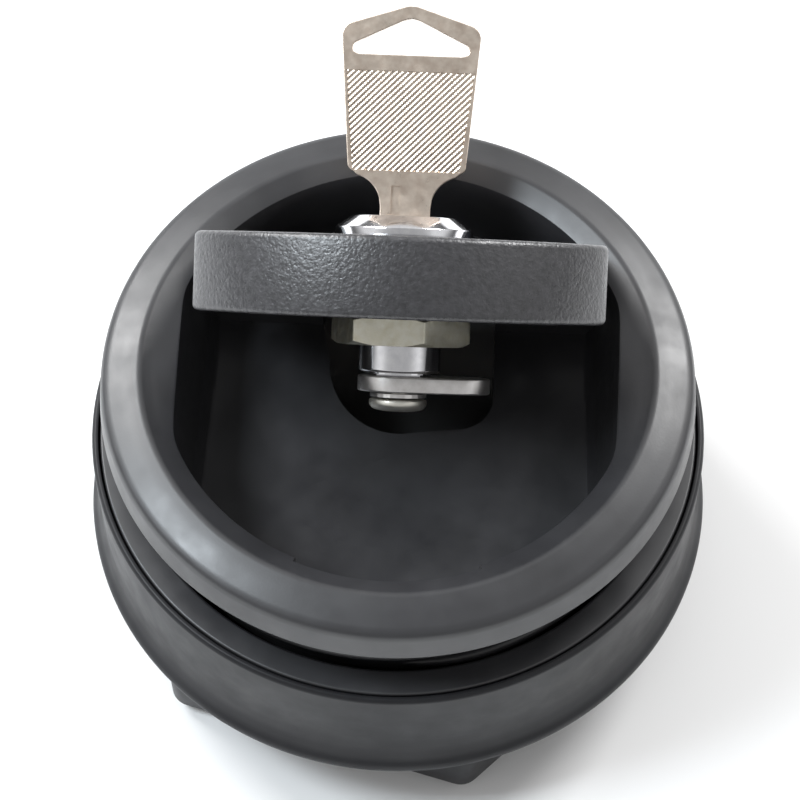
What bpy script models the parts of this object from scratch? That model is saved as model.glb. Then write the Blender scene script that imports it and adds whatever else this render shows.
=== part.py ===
"""Lockable deck fill cap with a flip-up handle, cam lock and key.

Metres, +Z up. The origin is the centre of the lower end of the threaded tail, on the cap's axis.
The cap is shown unscrewed by half a turn, and its handle is raised.
"""
import math

import bmesh
import bpy
from mathutils import Matrix, Vector

MM = 0.001
GAP = 0.3 * MM                      # running gap between pieces that touch

# Heights of the main faces
BEZEL_Z = 54.0 * MM                 # outer top edge of the bezel
UNDERSIDE_Z = BEZEL_Z - 5.3 * MM    # lower face of the bezel
SHELF_Z = BEZEL_Z - 16.0 * MM       # seat that the cap's seal closes on
FLANGE_Z = BEZEL_Z - 39.5 * MM      # lower face of the deck flange

# Cap
BEZEL_R = 47.5 * MM
NECK_R = 42.8 * MM
SKIRT_Z = BEZEL_Z - 20.5 * MM       # lower end of the threaded skirt
CHAMBER_R = 34.0 * MM
CAP_ANGLE = math.radians(-2.6)      # how far the cap is turned from square

# Pocket in the cap
OPENING_R = 37.5 * MM
PLATFORM_Z = BEZEL_Z - 16.2 * MM
STEP_Z = BEZEL_Z - 13.6 * MM
WALL_LEVELS = (                     # height, half width at the middle, widening towards the hinge
    (BEZEL_Z + 1.0 * MM, 35.05 * MM, 0.025),
    (BEZEL_Z - 13.0 * MM, 32.60 * MM, -0.010),
    (PLATFORM_Z, 31.30 * MM, -0.020),
)
STEP_Y = 18.1 * MM
WELL_Y = 24.3 * MM
PLATFORM_T = 2.8 * MM
SLOT_SIDE = 12.0 * MM               # half width of the lock's slot in the platform
SLOT_FRONT = 14.6 * MM              # its reach in front of the lock's axis
SLOT_REAR = 13.5 * MM               # its half width behind the step
SLOT_CORNER_R = 6.2 * MM

# Handle, drawn closed about its hinge
HINGE_Y = 22.3 * MM
HINGE_Z = BEZEL_Z - 7.2 * MM
HANDLE_T = 12.0 * MM
HANDLE_R = 36.5 * MM
HANDLE_W = 31.2 * MM
HANDLE_SHIFT = 0.3 * MM             # the paddle sits a little to the right on its hinge
HANDLE_RAISED = math.radians(56.76)
PIN_R = 1.8 * MM
PIN_TURN = math.radians(9)          # keeps the corners of the 20-sided bores off the hinge's own planes
KNUCKLE_W = 24.0 * MM               # half width of the handle's narrow hinge end
SHOULDER_Y = -8.0 * MM              # where the handle widens; this edge nears the bezel at the stop
LUG_X = 26.0 * MM                   # inner face of the hinge lugs
LUG_R = 4.6 * MM
PIN_HALF = 34.6 * MM

# Lock, drawn along +Z from the middle plane of the handle
LOCK_OFFSET = 11.1 * MM             # lock axis to hinge axis
BARREL_R = 7.9 * MM
BARREL_END_R = 6.75 * MM
HEAD_R = 11.25 * MM
HEAD_FACE_R = 8.5 * MM
HEAD_TOP = 9.9 * MM
BARREL_END = -15.35 * MM
PLUG_R = 5.6 * MM
CAM_REACH = 14.9 * MM
CAM_HUB_R = 6.7 * MM
CAM_TOP = -15.9 * MM
CAM_T = 2.6 * MM
NUT_FLATS = 20.0 * MM
NUT_ANGLE = math.radians(-9.4)      # where its first corner points
WASHER_R = 10.0 * MM
WASHER_DEPTH = 0.95 * MM            # recess for the washer under the nut
WAFER_COUNT = 5

# Key
KEY_T = 2.0 * MM
KEY_TIP = -9.5 * MM
BLADE_W = 4.1 * MM                  # half width

# Screw threads
CAP_STARTS = 4
CAP_LEAD = 19.0 * MM
RIDGE_R = 1.1 * MM
CAP_RIDGE_Z = SKIRT_Z + 1.6 * MM    # where the cap's and the seat's ridges start
SEAT_RIDGE_Z = SHELF_Z - 15.6 * MM
THREAD_PHASE = CAP_ANGLE + 2 * math.pi * (SEAT_RIDGE_Z - CAP_RIDGE_Z) / CAP_LEAD
TAIL_PITCH = 4.0 * MM
TAIL_RIDGE_R = 0.9 * MM
TAIL_R = 38.2 * MM
TAIL_BORE_R = 35.0 * MM

# Cup under the cap
CUP_SCREWS = 6
CUP_SCREW_R = 40.2 * MM             # radius of their circle
CUP_SCREW_TURN = math.radians(2.9)  # turns them clear of the pocket's corners

# Clamp nut
HEX_FLATS = 90.0 * MM
HEX_TOP = BEZEL_Z - 41.3 * MM
HEX_BOTTOM = BEZEL_Z - 52.4 * MM
HEX_ANGLE = math.radians(42.7)      # where its first corner points

ROUND = 64                          # segments of the large rings

BLACK = (0.022, 0.022, 0.024)
RUBBER = (0.012, 0.012, 0.012)
NICKEL = (0.62, 0.58, 0.50)
CHROME = (0.75, 0.76, 0.78)
STEEL = (0.55, 0.54, 0.52)
NYLON = (0.78, 0.76, 0.70)


def clear_scene():
    for obj in list(bpy.data.objects):
        bpy.data.objects.remove(obj, do_unlink=True)


def make_collection(name):
    collection = bpy.data.collections.new(name)
    bpy.context.scene.collection.children.link(collection)
    return collection


def make_material(name, color, roughness, metallic=0.0):
    material = bpy.data.materials.new(name)
    material.use_nodes = True
    shader = material.node_tree.nodes["Principled BSDF"]
    shader.inputs["Base Color"].default_value = (*color, 1.0)
    shader.inputs["Roughness"].default_value = roughness
    shader.inputs["Metallic"].default_value = metallic
    return material


def place(obj, parent=None, location=(0, 0, 0)):
    obj.location = location
    obj.parent = parent
    return obj


def pivot(name, parent, location, rotation):
    empty = bpy.data.objects.new(name, None)
    PARTS.objects.link(empty)
    empty.parent = parent
    empty.location = location
    empty.rotation_euler = rotation
    return empty


def finish(obj, color, roughness, metallic=0.0, angle=35):
    """Give a part its own material and smooth its round sides."""
    obj.data.materials.clear()
    obj.data.materials.append(make_material(obj.name, color, roughness, metallic))
    obj.data.shade_smooth()
    obj.data.set_sharp_from_angle(angle=math.radians(angle))
    return obj


def as_cutter(obj):
    for collection in list(obj.users_collection):
        collection.objects.unlink(obj)
    CUTTERS.objects.link(obj)
    obj.hide_render = True
    obj.display_type = "WIRE"
    return obj


def combine(obj, other, operation):
    modifier = obj.modifiers.new(operation.lower(), "BOOLEAN")
    modifier.operation = operation
    modifier.object = as_cutter(other)
    return obj


def cut(obj, *others):
    for other in others:
        combine(obj, other, "DIFFERENCE")
    return obj


def join(obj, *others):
    for other in others:
        combine(obj, other, "UNION")
    return obj


def object_from_bmesh(name, bm):
    bmesh.ops.recalc_face_normals(bm, faces=bm.faces)
    mesh = bpy.data.meshes.new(name)
    bm.to_mesh(mesh)
    bm.free()
    obj = bpy.data.objects.new(name, mesh)
    PARTS.objects.link(obj)
    return obj


def box(name, low, high):
    low, high = Vector(low), Vector(high)
    bm = bmesh.new()
    bmesh.ops.create_cube(bm, size=1.0)
    bmesh.ops.scale(bm, vec=high - low, verts=bm.verts)
    bmesh.ops.translate(bm, vec=(low + high) / 2, verts=bm.verts)
    return object_from_bmesh(name, bm)


def cylinder(name, radius, low, high, segments=24, axis="Z", at=(0, 0, 0), turn=0.0):
    """A round bar from low to high along an axis through a point; turn is its first corner's angle."""
    bm = bmesh.new()
    bmesh.ops.create_cone(bm, cap_ends=True, segments=segments, radius1=radius, radius2=radius,
                          depth=high - low)
    bmesh.ops.rotate(bm, cent=(0, 0, 0), matrix=Matrix.Rotation(turn - math.pi / 2, 3, "Z"), verts=bm.verts)
    bmesh.ops.translate(bm, vec=(0, 0, (low + high) / 2), verts=bm.verts)
    if axis == "X":
        bmesh.ops.rotate(bm, cent=(0, 0, 0), matrix=Matrix.Rotation(math.pi / 2, 3, "Y"), verts=bm.verts)
    bmesh.ops.translate(bm, vec=at, verts=bm.verts)
    return object_from_bmesh(name, bm)


def turned(name, profile, segments=ROUND, closed=True):
    """Turn a profile of (radius, height) points about Z; it runs down its outer side."""
    mesh = bpy.data.meshes.new(name)
    points = [(radius, 0.0, height) for radius, height in profile]
    edges = [(i, i + 1) for i in range(len(points) - 1)]
    if closed:
        edges.append((len(points) - 1, 0))
    mesh.from_pydata(points, edges, [])
    obj = bpy.data.objects.new(name, mesh)
    PARTS.objects.link(obj)
    screw = obj.modifiers.new("turn", "SCREW")
    screw.steps = segments
    screw.render_steps = segments
    screw.use_merge_vertices = True
    screw.merge_threshold = 0.00001
    screw.use_smooth_shade = True
    return obj


def mesh_of(obj):
    """Replace a curve by its mesh, with the caps welded on and their flat faces made whole."""
    graph = bpy.context.evaluated_depsgraph_get()
    mesh = bpy.data.meshes.new_from_object(obj.evaluated_get(graph))
    bm = bmesh.new()
    bm.from_mesh(mesh)
    bmesh.ops.remove_doubles(bm, verts=bm.verts, dist=0.000002)
    bmesh.ops.dissolve_limit(bm, angle_limit=math.radians(0.05), verts=bm.verts, edges=bm.edges)
    bmesh.ops.recalc_face_normals(bm, faces=bm.faces)
    bm.to_mesh(mesh)
    bm.free()
    name, matrix = obj.name, obj.matrix_world.copy()
    bpy.data.objects.remove(obj, do_unlink=True)
    solid = bpy.data.objects.new(name, mesh)
    solid.matrix_world = matrix
    PARTS.objects.link(solid)
    return solid


def curve_object(name, loops, closed):
    curve = bpy.data.curves.new(name, "CURVE")
    for points in loops:
        spline = curve.splines.new("POLY")
        spline.points.add(len(points) - 1)
        for point, place_at in zip(spline.points, points):
            point.co = (*place_at, 1.0)
        spline.use_cyclic_u = closed
    obj = bpy.data.objects.new(name, curve)
    PARTS.objects.link(obj)
    return obj


def plate(name, outlines, low, high):
    """A flat plate between two heights; outlines after the first are its holes."""
    obj = curve_object(name, [[(x, y, 0.0) for x, y in outline] for outline in outlines], True)
    obj.data.dimensions = "2D"
    obj.data.fill_mode = "BOTH"
    obj.data.extrude = (high - low) / 2
    solid = mesh_of(obj)
    solid.data.transform(Matrix.Translation((0, 0, (low + high) / 2)))
    return solid


def loft(name, sections):
    """Join rings of equal point counts into one closed solid."""
    bm = bmesh.new()
    rings = [[bm.verts.new(point) for point in section] for section in sections]
    count = len(rings[0])
    for lower, upper in zip(rings, rings[1:]):
        for i in range(count):
            j = (i + 1) % count
            bm.faces.new((lower[i], lower[j], upper[j], upper[i]))
    bm.faces.new(rings[0])
    bm.faces.new(rings[-1])
    bmesh.ops.triangulate(bm, faces=bm.faces)
    return object_from_bmesh(name, bm)


def helix_ridge(name, radius, bead, lead, start_angle, turns, z_start, per_turn=28):
    """A round-backed thread ridge that climbs one lead per turn."""
    count = max(3, round(per_turn * turns))
    points = []
    for i in range(count + 1):
        share = turns * i / count
        angle = start_angle + 2 * math.pi * share
        points.append((radius * math.cos(angle), radius * math.sin(angle), z_start + lead * share))
    obj = curve_object(name, [points], False)
    obj.data.dimensions = "3D"
    obj.data.bevel_depth = bead
    obj.data.bevel_resolution = 1
    obj.data.use_fill_caps = True
    return mesh_of(obj)


def bevel(obj, width, segments=1, angle=35):
    modifier = obj.modifiers.new("edges", "BEVEL")
    modifier.width = width
    modifier.segments = segments
    modifier.limit_method = "ANGLE"
    modifier.angle_limit = math.radians(angle)
    return obj


def arc_points(centre, radius, start, end, count):
    points = []
    for i in range(count + 1):
        angle = math.radians(start + (end - start) * i / count)
        points.append((centre[0] + radius * math.cos(angle), centre[1] + radius * math.sin(angle)))
    return points


def flat_sided_circle(radius, half_width, taper=0.0, power=90, count=72):
    """Outline of a circle with two nearly parallel flat sides, its corners eased by a power mean."""
    points = []
    for i in range(count):
        angle = 2 * math.pi * (i + 0.5) / count
        side = max(abs(math.cos(angle)) - taper * math.sin(angle), 0.0) / half_width
        reach = (radius ** -power + side ** power) ** (-1 / power)
        points.append((reach * math.cos(angle), reach * math.sin(angle)))
    return points


def pocket_section(z, width, taper):
    return [(x, y, z) for x, y in flat_sided_circle(OPENING_R, width, taper)]


def pocket_cutter():
    """The room for the handle, with leaning sides; it is shallower behind the hinge step."""
    sections = [pocket_section(*level) for level in reversed(WALL_LEVELS)]
    sections.append([(x, y, BEZEL_Z + 5 * MM) for x, y, z in sections[-1]])
    cutter = loft("pocket_cutter", sections)
    behind = box("behind_step", (-0.05, STEP_Y, PLATFORM_Z - 0.01), (0.05, 0.05, STEP_Z))
    return cut(cutter, behind)


def well_cutter():
    """The finger well behind the handle, a little narrower than the pocket."""
    floor_z = PLATFORM_Z - PLATFORM_T - 0.4 * MM
    outline = flat_sided_circle(OPENING_R - GAP, 31.0 * MM)
    cutter = loft("well_cutter", [[(x, y, z) for x, y in outline] for z in (floor_z, STEP_Z + 1.2 * MM)])
    before = box("before_well", (-0.05, -0.05, floor_z - 0.01), (0.05, WELL_Y, STEP_Z + 0.01))
    return cut(cutter, before)


def notch_cutter():
    """The slot that the lock drops into: an oval with room on the right for the resting cam."""
    lock_y = HINGE_Y - LOCK_OFFSET
    right = CAM_REACH + 1.5 * MM
    corner_y = lock_y - SLOT_FRONT + 1.25 * MM + SLOT_CORNER_R
    outline = [(-SLOT_SIDE * math.cos(turn), lock_y - SLOT_FRONT * math.sin(turn))
               for turn in (math.radians(6 * i) for i in range(18))]
    outline += arc_points((right - SLOT_CORNER_R, corner_y), SLOT_CORNER_R, -90, 0, 9)
    outline += [(right, WELL_Y + 2 * MM), (-SLOT_REAR, WELL_Y + 2 * MM), (-SLOT_REAR, STEP_Y)]
    return plate("notch_cutter", [outline], PLATFORM_Z - PLATFORM_T - 1 * MM, STEP_Z + 0.5 * MM)


def finger_relief_cutter():
    """A shallow relief in the near rim, where a finger lifts the handle's edge."""
    outline = []
    for radius, way in ((OPENING_R - 2 * MM, 1), (OPENING_R + 0.9 * MM, -1)):
        for i in range(9):
            angle = math.radians(-90 + way * (i - 4) * 5.5)
            outline.append((radius * math.cos(angle), radius * math.sin(angle)))
    return plate("relief_cutter", [outline], BEZEL_Z - 6 * MM, BEZEL_Z + 6 * MM)


def catch_block():
    """The catch that the locked cam hooks under; its face follows the swing about the hinge."""
    floor_z = PLATFORM_Z - PLATFORM_T
    block = box("catch", (-7 * MM, -9 * MM, BEZEL_Z - 22.5 * MM), (7 * MM, 3 * MM, floor_z + 0.5 * MM))
    swing = cylinder("catch_swing", 27.4 * MM, -9 * MM, 9 * MM, 96, "X", (0, HINGE_Y, HINGE_Z))
    return cut(block, swing)


def hinge_lug(side):
    """Round-topped lug in a rear corner of the pocket, which carries an end of the hinge pin."""
    low, high = sorted((side * LUG_X, side * 38 * MM))
    lug = cylinder(f"lug_{side}", LUG_R, low, high, 32, "X", (0, HINGE_Y, HINGE_Z))
    base_low = (low, HINGE_Y - LUG_R + 0.02 * MM, STEP_Z - 0.5 * MM)
    base_high = (high, HINGE_Y + LUG_R - 0.02 * MM, HINGE_Z)
    join(lug, box(f"lug_base_{side}", base_low, base_high))
    trim = cylinder(f"lug_trim_{side}", 41.5 * MM, STEP_Z - 1 * MM, BEZEL_Z + 5 * MM, 64)
    return combine(lug, trim, "INTERSECT")


def cap_body():
    """Bezel, pocket and threaded skirt in one moulding."""
    top = BEZEL_Z
    profile = [
        (0, top + 1.2 * MM), (37.2 * MM, top + 1.2 * MM), (40.7 * MM, top + 2.8 * MM),
        (41.4 * MM, top + 2.85 * MM), (43.4 * MM, top + 2.35 * MM), (46.2 * MM, top + 1.35 * MM),
        (47.1 * MM, top + 0.8 * MM), (BEZEL_R, top), (48.1 * MM, UNDERSIDE_Z + 0.4 * MM),
        (47.8 * MM, UNDERSIDE_Z), (47.0 * MM, UNDERSIDE_Z), (47.0 * MM, UNDERSIDE_Z + 2.5 * MM),
        (44.4 * MM, UNDERSIDE_Z + 2.5 * MM), (44.4 * MM, UNDERSIDE_Z), (NECK_R, UNDERSIDE_Z),
        (NECK_R, SKIRT_Z), (0, SKIRT_Z),
    ]
    body = turned("cap_body", profile, closed=False)
    chamber = cylinder("chamber_cutter", CHAMBER_R, SKIRT_Z - 1 * MM, PLATFORM_Z - PLATFORM_T, 48)
    cut(body, pocket_cutter(), well_cutter(), notch_cutter(), finger_relief_cutter(), chamber)
    join(body, catch_block())
    for index in range(CAP_STARTS):
        start = 2 * math.pi * index / CAP_STARTS
        radius = NECK_R + 0.4 * MM
        join(body, helix_ridge(f"cap_ridge_{index}", radius, RIDGE_R, CAP_LEAD, start, 0.5, CAP_RIDGE_Z))
    join(body, hinge_lug(-1), hinge_lug(1))
    hinge = (0, HINGE_Y, HINGE_Z)
    cut(body, cylinder("pin_bore", PIN_R + 0.05 * MM, -PIN_HALF - GAP, 38.5 * MM, 20, "X", hinge, PIN_TURN))
    for index in range(CUP_SCREWS):
        at = cup_screw_place(index)
        cut(body, cylinder(f"screw_bore_{index}", 1.45 * MM, SKIRT_Z - 1 * MM, SKIRT_Z + 6.4 * MM, 12, at=at))
    return finish(body, BLACK, 0.42)


def cup_screw_place(index):
    angle = 2 * math.pi * (index + 0.5) / CUP_SCREWS + CUP_SCREW_TURN
    return CUP_SCREW_R * math.cos(angle), CUP_SCREW_R * math.sin(angle), 0


def cap_cup():
    """The bowl that closes the cap's underside."""
    flange_top = SKIRT_Z - 1.4 * MM
    flange_low = flange_top - 1.8 * MM
    floor = BEZEL_Z - 30.2 * MM
    bottom = floor - 1.7 * MM
    profile = [
        (0, floor), (31.8 * MM, floor), (32.6 * MM, floor + 0.8 * MM), (32.6 * MM, flange_top),
        (42.3 * MM, flange_top), (42.3 * MM, flange_low), (34.4 * MM, flange_low),
        (34.4 * MM, bottom + 1.2 * MM), (33.2 * MM, bottom), (0, bottom),
    ]
    cup = turned("cap_cup", profile, 48, closed=False)
    for index in range(CUP_SCREWS):
        at = cup_screw_place(index)
        cut(cup, cylinder(f"cup_bore_{index}", 1.6 * MM, flange_low - 1 * MM, flange_top + 1 * MM, 12, at=at))
    return finish(cup, BLACK, 0.5)


def cup_gasket():
    high = SKIRT_Z - GAP
    low = high - 0.8 * MM
    ring = [(35.0 * MM, high), (42.2 * MM, high), (42.2 * MM, low), (35.0 * MM, low)]
    gasket = turned("cup_gasket", ring, 48)
    for index in range(CUP_SCREWS):
        at = cup_screw_place(index)
        cut(gasket, cylinder(f"gasket_bore_{index}", 1.6 * MM, low - 1 * MM, high + 1 * MM, 12, at=at))
    return finish(gasket, RUBBER, 0.8)


def copies(shape, places, parent_to, color, roughness, metallic=0.0):
    """Numbered objects that share one finished mesh, each at its own place."""
    solid = mesh_of(shape)
    finish(solid, color, roughness, metallic)
    name = solid.name
    solid.name = f"{name}_1"
    place(solid, parent_to, places[0])
    for number, location in enumerate(places[1:], 2):
        copy = bpy.data.objects.new(f"{name}_{number}", solid.data)
        PARTS.objects.link(copy)
        place(copy, parent_to, location)


def cup_screws(parent_to):
    """Pan head screws that hold the cup."""
    head_top = SKIRT_Z - 3.5 * MM
    shape = turned("cup_screw", [
        (0, SKIRT_Z + 5.6 * MM), (1.0 * MM, SKIRT_Z + 5.6 * MM), (1.25 * MM, SKIRT_Z + 5.0 * MM),
        (1.25 * MM, head_top), (2.0 * MM, head_top), (2.0 * MM, head_top - 1.0 * MM),
        (1.5 * MM, head_top - 1.5 * MM), (0, head_top - 1.5 * MM)], 12, closed=False)
    slot_low = (-0.3 * MM, -3 * MM, head_top - 2 * MM)
    slot_high = (0.3 * MM, 3 * MM, head_top - 0.9 * MM)
    cut(shape, box("cup_screw_slot", slot_low, slot_high))
    places = [cup_screw_place(index) for index in range(CUP_SCREWS)]
    copies(shape, places, parent_to, STEEL, 0.3, 1.0)


def cap_seal():
    """O-ring in the groove under the bezel."""
    section, middle = 1.1 * MM, 45.7 * MM
    height = UNDERSIDE_Z + 0.2 * MM
    circle = []
    for i in range(10):
        angle = math.pi / 2 - 2 * math.pi * i / 10
        circle.append((middle + section * math.cos(angle), height + section * math.sin(angle)))
    return finish(turned("cap_o_ring", circle, 56), RUBBER, 0.6)


def slip_ring():
    """Flat ring above the O-ring, on which the cap turns while the O-ring holds still."""
    high = UNDERSIDE_Z + 2.5 * MM - GAP
    low = high - 0.6 * MM
    ring = [(44.7 * MM, high), (46.7 * MM, high), (46.7 * MM, low), (44.7 * MM, low)]
    return finish(turned("slip_ring", ring, 56), NYLON, 0.5)


def deck_ring():
    """Riser, deck flange and threaded tail."""
    top = BEZEL_Z
    profile = [
        (49.6 * MM, top - 16.0 * MM), (50.2 * MM, top - 16.05 * MM), (50.7 * MM, top - 16.5 * MM),
        (50.8 * MM, top - 25.0 * MM), (50.9 * MM, top - 32.0 * MM), (51.2 * MM, top - 34.6 * MM),
        (51.9 * MM, top - 36.6 * MM), (52.7 * MM, top - 37.7 * MM), (52.9 * MM, top - 38.3 * MM),
        (52.9 * MM, top - 39.0 * MM), (52.5 * MM, FLANGE_Z), (TAIL_R, FLANGE_Z),
        (TAIL_R, 0.8 * MM), (TAIL_R - 0.8 * MM, 0), (TAIL_BORE_R + 0.6 * MM, 0), (TAIL_BORE_R, 0.6 * MM),
        (TAIL_BORE_R, top - 36.0 * MM), (46.8 * MM, top - 36.0 * MM), (46.8 * MM, top - 19.1 * MM),
        (49.6 * MM, top - 19.1 * MM),
    ]
    ring = turned("deck_ring", profile)
    ridge = helix_ridge("tail_ridge", TAIL_R + 0.2 * MM, TAIL_RIDGE_R, TAIL_PITCH, 0.0, 2.3, 1.6 * MM)
    return finish(join(ring, ridge), BLACK, 0.42)


def seat_ring():
    """Threaded insert; its top face is the seat of the cap's seal."""
    top = SHELF_Z
    profile = [
        (45.4 * MM, top), (49.1 * MM, top), (49.3 * MM, top - 0.2 * MM), (49.3 * MM, top - 2.8 * MM),
        (46.5 * MM, top - 2.8 * MM), (46.5 * MM, top - 18.0 * MM), (45.0 * MM, top - 18.0 * MM),
        (45.0 * MM, top - 0.4 * MM),
    ]
    ring = turned("seat_ring", profile)
    for index in range(CAP_STARTS):
        start = 2 * math.pi * (index + 0.5) / CAP_STARTS + THREAD_PHASE
        ridge = helix_ridge(f"seat_ridge_{index}", 44.7 * MM, RIDGE_R, CAP_LEAD, start, 0.6, SEAT_RIDGE_Z)
        join(ring, ridge)
    return finish(ring, BLACK, 0.45)


def deck_gasket():
    """Flat gasket under the flange, with a thicker sealing lip along its outer edge."""
    high = FLANGE_Z - GAP
    low = high - 1.2 * MM
    lip_r = 46.8 * MM
    ring = [(39.6 * MM, high), (51.6 * MM, high), (51.6 * MM, low), (lip_r, low), (lip_r, low + 0.4 * MM),
            (39.6 * MM, low + 0.4 * MM)]
    return finish(turned("deck_gasket", ring, 56), RUBBER, 0.8)


def clamp_nut():
    """Large hexagonal nut that draws the flange down on the deck."""
    nut = cylinder("clamp_nut", HEX_FLATS / math.sqrt(3), HEX_BOTTOM, HEX_TOP, 6, turn=HEX_ANGLE)
    bevel(nut, 0.9 * MM, 2)
    cut(nut, cylinder("nut_bore", 40.0 * MM, HEX_BOTTOM - 1 * MM, HEX_TOP + 1 * MM, 56))
    z_start = HEX_BOTTOM + 1.6 * MM
    start = 2 * math.pi * ((z_start - 1.6 * MM) / TAIL_PITCH + 0.5)
    ridge = helix_ridge("nut_ridge", 40.0 * MM, TAIL_RIDGE_R, TAIL_PITCH, start, 1.9, z_start)
    return finish(join(nut, ridge), BLACK, 0.42)


def handle():
    """D-shaped paddle, hinged along its straight side; drawn closed about the hinge axis."""
    count = 88
    circle = flat_sided_circle(HANDLE_R, HANDLE_W, count=count)
    circle = [(x + HANDLE_SHIFT, y - HINGE_Y) for x, y in circle[count // 4:] + circle[:count // 4]]
    outline = [point for point in circle if point[1] < SHOULDER_Y - 1 * MM]
    left_x, right_x = outline[0][0], outline[-1][0]
    outline += [(right_x, SHOULDER_Y), (KNUCKLE_W, SHOULDER_Y), (KNUCKLE_W, 0)]
    outline += [(-KNUCKLE_W, 0), (-KNUCKLE_W, SHOULDER_Y), (left_x, SHOULDER_Y)]
    half = HANDLE_T / 2
    paddle = bevel(plate("handle", [outline], -half, half), 0.9 * MM, 2, 40)
    join(paddle, cylinder("knuckle", half, -KNUCKLE_W, KNUCKLE_W, 32, "X"))
    lock = (0, -LOCK_OFFSET, 0)
    low = -half - 1 * MM
    cut(paddle, cylinder("lock_bore", BARREL_R + GAP, low, half + 1 * MM, 32, at=lock))
    cut(paddle, cylinder("washer_recess", WASHER_R + GAP, low, -half + WASHER_DEPTH, 40, at=lock))
    cut(paddle, cylinder("handle_pin_bore", PIN_R + 0.05 * MM, -0.04, 0.04, 20, "X", turn=PIN_TURN))
    return finish(paddle, BLACK, 0.4)


def hinge_pin():
    pin = cylinder("hinge_pin", PIN_R, -PIN_HALF, PIN_HALF, 20, "X")
    return finish(bevel(pin, 0.25 * MM), STEEL, 0.3, 1.0)


def friction_washers(parent_to):
    """Pair of washers that grip the handle's ends, so that it stays where it is put."""
    thick = 1.4 * MM
    inner = KNUCKLE_W + GAP
    washer = cylinder("friction_washer", LUG_R, 0, thick, 24, "X")
    cut(washer, cylinder("washer_bore", PIN_R + GAP, -1 * MM, 3 * MM, 20, "X"))
    copies(washer, [(inner, 0, 0), (-inner - thick, 0, 0)], parent_to, NYLON, 0.5)


def lock_body():
    """Flanged head and barrel of the lock."""
    bore = PLUG_R + 0.15 * MM
    head_low = HANDLE_T / 2 + GAP
    profile = [
        (bore, HEAD_TOP), (HEAD_FACE_R, HEAD_TOP), (HEAD_R, 7.9 * MM), (HEAD_R, head_low),
        (BARREL_R, head_low), (BARREL_R, -10.4 * MM), (BARREL_END_R, -10.8 * MM),
        (BARREL_END_R, BARREL_END + 0.3 * MM), (BARREL_END_R - 0.3 * MM, BARREL_END), (bore, BARREL_END),
    ]
    return finish(turned("lock_body", profile, 40), CHROME, 0.12, 1.0)


def lock_washer():
    """Flat washer, let into the handle's underside."""
    high = -HANDLE_T / 2 + WASHER_DEPTH - GAP
    low = -HANDLE_T / 2
    ring = [(8.3 * MM, high), (WASHER_R, high), (WASHER_R, low), (8.3 * MM, low)]
    return finish(turned("lock_washer", ring, 28), STEEL, 0.3, 1.0)


def lock_nut():
    """Hexagonal nut of the lock, chamfered on both faces."""
    high = -HANDLE_T / 2 - GAP
    low = -10.95 * MM
    corner_r = NUT_FLATS / math.sqrt(3)
    nut = cylinder("lock_nut", corner_r, low, high, 6, turn=NUT_ANGLE)
    rim = corner_r - 1.2 * MM
    envelope = turned("nut_chamfer", [
        (0, high), (rim, high), (corner_r + 0.2 * MM, high - 0.7 * MM),
        (corner_r + 0.2 * MM, low + 0.7 * MM), (rim, low), (0, low)], 36, closed=False)
    combine(nut, envelope, "INTERSECT")
    cut(nut, cylinder("lock_nut_bore", BARREL_R + GAP, low - 1 * MM, high + 1 * MM, 28))
    return finish(nut, NICKEL, 0.3, 1.0)


def wafer_heights():
    return [5.5 * MM - 2.8 * MM * index for index in range(WAFER_COUNT)]


def lock_plug():
    """Turning core with its keyway, wafer slots, square tail and tapped end."""
    plug = cylinder("lock_plug", PLUG_R, -15.6 * MM, HEAD_TOP - 0.2 * MM, 32)
    join(plug, box("plug_tail", (-3.5 * MM, -3.5 * MM, -18.4 * MM), (3.5 * MM, 3.5 * MM, -15.0 * MM)))
    cut(plug, box("keyway", (-4.3 * MM, -1.15 * MM, -11.0 * MM), (4.3 * MM, 1.15 * MM, HEAD_TOP + 1 * MM)))
    for index, height in enumerate(wafer_heights()):
        low = (-7 * MM, -2.3 * MM, height - 0.5 * MM)
        high = (7 * MM, 2.3 * MM, height + 0.5 * MM)
        cut(plug, box(f"wafer_slot_{index}", low, high))
    cut(plug, cylinder("tapped_hole", 2.1 * MM, -20 * MM, -12.4 * MM, 16))
    return finish(plug, CHROME, 0.15, 1.0)


def wafers(parent_to):
    """Flat wafers with a window for the key."""
    outer = [(-5.1 * MM, -2.0 * MM), (5.1 * MM, -2.0 * MM), (5.1 * MM, 2.0 * MM), (-5.1 * MM, 2.0 * MM)]
    window = [(-4.35 * MM, -1.25 * MM), (-4.35 * MM, 1.25 * MM), (4.35 * MM, 1.25 * MM),
              (4.35 * MM, -1.25 * MM)]
    shape = plate("wafer", [outer, window], -0.3 * MM, 0.3 * MM)
    places = [(0, 0, height) for height in wafer_heights()]
    copies(shape, places, parent_to, (0.70, 0.55, 0.28), 0.3, 1.0)


def lock_cam():
    """Flat cam with a round hub and a narrower round-ended arm towards +X."""
    tip_r = 5.2 * MM
    outline = []
    for i in range(17):
        angle = math.radians(78 + (360 - 156) * i / 16)
        outline.append((CAM_HUB_R * math.cos(angle), CAM_HUB_R * math.sin(angle)))
    for i in range(9):
        angle = math.radians(-84 + 168 * i / 8)
        outline.append((CAM_REACH - tip_r + tip_r * math.cos(angle), tip_r * math.sin(angle)))
    cam = bevel(plate("lock_cam", [outline], CAM_TOP - CAM_T, CAM_TOP), 0.3 * MM, 2, 50)
    side = 3.7 * MM
    cut(cam, box("cam_square", (-side, -side, CAM_TOP - CAM_T - 1 * MM), (side, side, CAM_TOP + 1 * MM)))
    return finish(cam, STEEL, 0.3, 1.0)


def cam_washer():
    high = CAM_TOP - CAM_T - GAP
    low = high - 0.6 * MM
    ring = [(2.3 * MM, high), (4.6 * MM, high), (4.6 * MM, low), (2.3 * MM, low)]
    return finish(turned("cam_washer", ring, 24), STEEL, 0.3, 1.0)


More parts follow.
